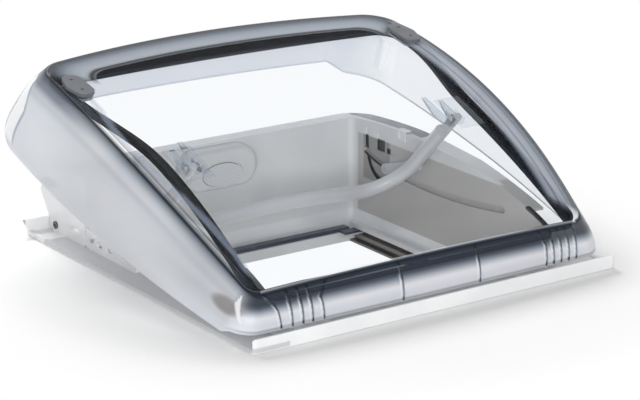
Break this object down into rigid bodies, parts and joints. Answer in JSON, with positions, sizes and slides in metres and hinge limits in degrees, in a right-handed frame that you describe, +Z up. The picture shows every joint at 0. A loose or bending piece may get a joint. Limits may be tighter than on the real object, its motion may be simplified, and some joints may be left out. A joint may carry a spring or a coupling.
{
  "type": "roof window",
  "caption": "Hinged roof window with a tinted double-glazed dome, an inner bow handle that runs in wall tracks, a push-button lock and two pleated blinds.",
  "frame": {"origin": "centre of the roof cut-out, on the roof's outer surface", "axes": "+X to the right seen from the hinged front, +Y from the hinge to the opening rear edge, +Z up and out of the roof"},
  "size_m": [0.5536, 0.5336, 0.2914],
  "materials": {
    "white_frame": "satin moulded white plastic",
    "white_gloss": "glossy white extruded rail",
    "black_rubber": "black sealing rubber",
    "button_mesh": "grey plastic with a fine mesh texture",
    "spring_steel": "spring wire",
    "grey_plastic": "grey moulded plastic",
    "pull_bar": "light grey bar, satin gloss",
    "blackout_cloth": "pleated blackout cloth, silver grey",
    "screen_cloth": "pleated insect screen",
    "zinc_steel": "zinc-plated steel",
    "tinted_acrylic": "clear acrylic with a light grey-blue tint",
    "clear_acrylic": "clear acrylic",
    "handle_grey": "light grey satin plastic tube",
    "cap_grey": "dark grey matte plastic",
    "pad_grey": "grey pad"
  },
  "bodies": {
    "root": {"base_flange": "white_frame", "roof_seal": "black_rubber", "collar": "white_frame", "front_trim": "black_rubber", "lock_housing": "white_frame", "button_spring": "spring_steel", "blind_frame": "white_frame", "blackout_pleats": "blackout_cloth", "screen_pleats": "screen_cloth", "clamp_brackets": "zinc_steel", "clamp_screws": "zinc_steel", "blind_rail_left": "white_gloss", "blind_rail_right": "white_gloss", "wall_clip_left": "white_frame", "wall_clip_right": "white_frame", "corner_housing_left": "white_frame", "corner_housing_right": "white_frame", "bumper_left": "black_rubber", "bumper_right": "black_rubber", "housing_screw_left": "zinc_steel", "housing_screw_right": "zinc_steel", "side_bracket_left": "white_frame", "side_bracket_right": "white_frame", "hinge_base_left": "grey_plastic", "hinge_base_right": "grey_plastic", "hinge_pin_left": "zinc_steel", "hinge_pin_right": "zinc_steel"},
    "dome": {"outer_dome": "tinted_acrylic", "inner_pane": "clear_acrylic", "pane_spacer": "black_rubber", "dome_seal": "black_rubber", "cap_left": "cap_grey", "cap_right": "cap_grey", "cap_pad_left": "pad_grey", "cap_pad_right": "pad_grey", "cap_screws_left": "zinc_steel", "cap_screws_right": "zinc_steel", "dome_boss_left": "clear_acrylic", "dome_boss_right": "clear_acrylic", "bow_bracket_left": "clear_acrylic", "bow_bracket_right": "clear_acrylic", "bow_pivot_left": "zinc_steel", "bow_pivot_right": "zinc_steel", "hinge_leaf_left": "grey_plastic", "hinge_leaf_right": "grey_plastic"},
    "bow": {"bow_handle": "handle_grey", "guide_pin_left": "grey_plastic", "guide_pin_right": "grey_plastic"},
    "button": {"lock_button": "button_mesh"},
    "tongue": {"latch_tongue": "grey_plastic"},
    "blackout": {"blackout_bar": "pull_bar"},
    "screen": {"screen_bar": "pull_bar"}
  },
  "joints": [
    {"name": "dome_hinge", "type": "hinge", "parent": "root", "child": "dome", "pos_m": [0, -0.21, 0.013], "axis": [1, 0, 0], "range_deg": [-13, 32]},
    {"name": "bow_swing", "type": "hinge", "parent": "dome", "child": "bow", "pos_m": [0, -0.026, 0.137], "axis": [1, 0, 0], "range_deg": [-83.2, 33.8]},
    {"name": "button_press", "type": "slide", "parent": "root", "child": "button", "axis": [0, 1, 0], "range_m": [0, 0.003], "stiffness_N_per_m": 400, "springref_m": -0.002},
    {"name": "tongue_lift", "type": "slide", "parent": "root", "child": "tongue", "axis": [0, 0, 1], "range_m": [0, 0.003]},
    {"name": "blackout_pull", "type": "slide", "parent": "root", "child": "blackout", "axis": [0, -1, 0], "range_m": [0, 0.33]},
    {"name": "screen_pull", "type": "slide", "parent": "root", "child": "screen", "axis": [0, 1, 0], "range_m": [0, 0.33]}
  ],
  "couplings": [
    {"joint": "bow_swing", "follows": "dome_hinge", "ratio": -2.6},
    {"joint": "tongue_lift", "follows": "button_press", "ratio": 1}
  ]
}
